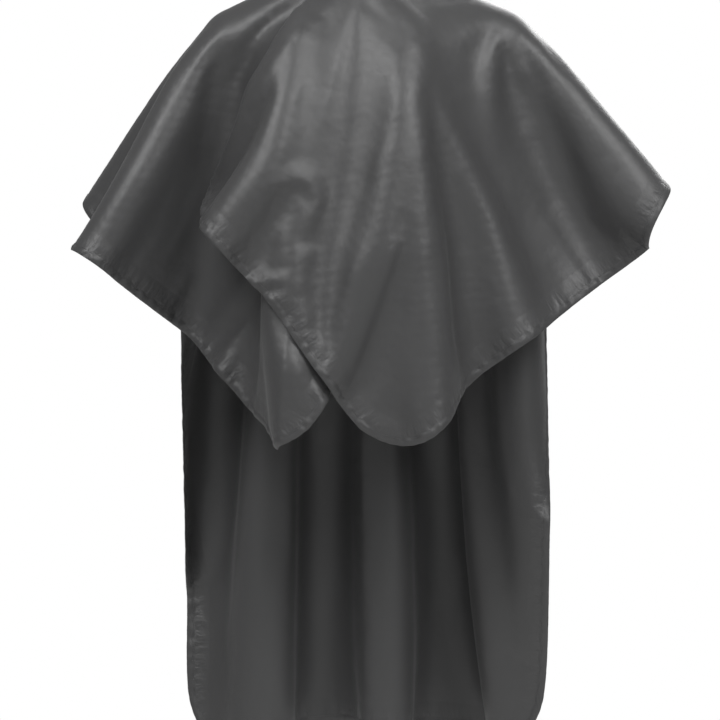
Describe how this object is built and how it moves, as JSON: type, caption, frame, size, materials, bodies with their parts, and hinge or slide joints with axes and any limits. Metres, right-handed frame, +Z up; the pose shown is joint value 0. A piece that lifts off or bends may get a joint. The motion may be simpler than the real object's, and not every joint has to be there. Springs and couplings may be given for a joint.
{
  "type": "barber cape",
  "caption": "Salon cutting cape of thin water-repellent cloth, closed at the nape by a snap tab, with two short overlapping back flaps and a long front panel.",
  "frame": {"origin": "centre of the neck opening, half way up the neckband", "axes": "+Z up along the neck; the wearer faces +Y, so the overlapping back flaps face -Y; +X is the wearer's right"},
  "size_m": [0.784, 0.3983, 1.0962],
  "materials": {
    "cape_cloth": "water-repellent polyester taffeta, semi-gloss",
    "hem_cloth": "same taffeta, turned twice and stitched, puckered",
    "band_cloth": "same taffeta over a stiffener, stitched",
    "stiffener": "non-woven interlining",
    "thread": "spun polyester thread",
    "snap_resin": "moulded acetal",
    "label_tape": "blank satin ribbon"
  },
  "bodies": {
    "cape": {"shoulder_yoke": "cape_cloth", "front_panel": "cape_cloth", "front_hem": "hem_cloth", "under_flap": "cape_cloth", "under_flap_hem": "hem_cloth", "right_back_panel": "cape_cloth", "right_back_hem": "hem_cloth", "left_drape": "cape_cloth", "left_side_hem": "hem_cloth", "right_drape": "cape_cloth", "right_side_hem": "hem_cloth", "neckband": "band_cloth", "neckband_stiffener": "stiffener", "neckband_stitching": "thread", "neckband_overlap": "band_cloth", "snap_studs": "snap_resin", "snap_stud_backs": "snap_resin"},
    "top_flap": {"top_flap": "cape_cloth", "top_flap_hem": "hem_cloth"},
    "closure_tab": {"closure_tab": "band_cloth", "snap_socket": "snap_resin", "snap_cap": "snap_resin"},
    "care_label": {"care_label": "label_tape"}
  },
  "joints": [
    {"name": "top_flap_fold", "type": "hinge", "parent": "cape", "child": "top_flap", "pos_m": [-0.0475, -0.15015, -0.365], "axis": [-0.0987, 0.1237, 0.9874], "range_deg": [0, 70]},
    {"name": "tab_peel", "type": "hinge", "parent": "cape", "child": "closure_tab", "pos_m": [-0.04979, -0.04483, 0.002], "axis": [0, 0, 1], "range_deg": [0, 80]},
    {"name": "label_flip", "type": "hinge", "parent": "cape", "child": "care_label", "pos_m": [0, 0.0642, -0.028], "axis": [1, 0, 0], "range_deg": [-75, 0]}
  ]
}
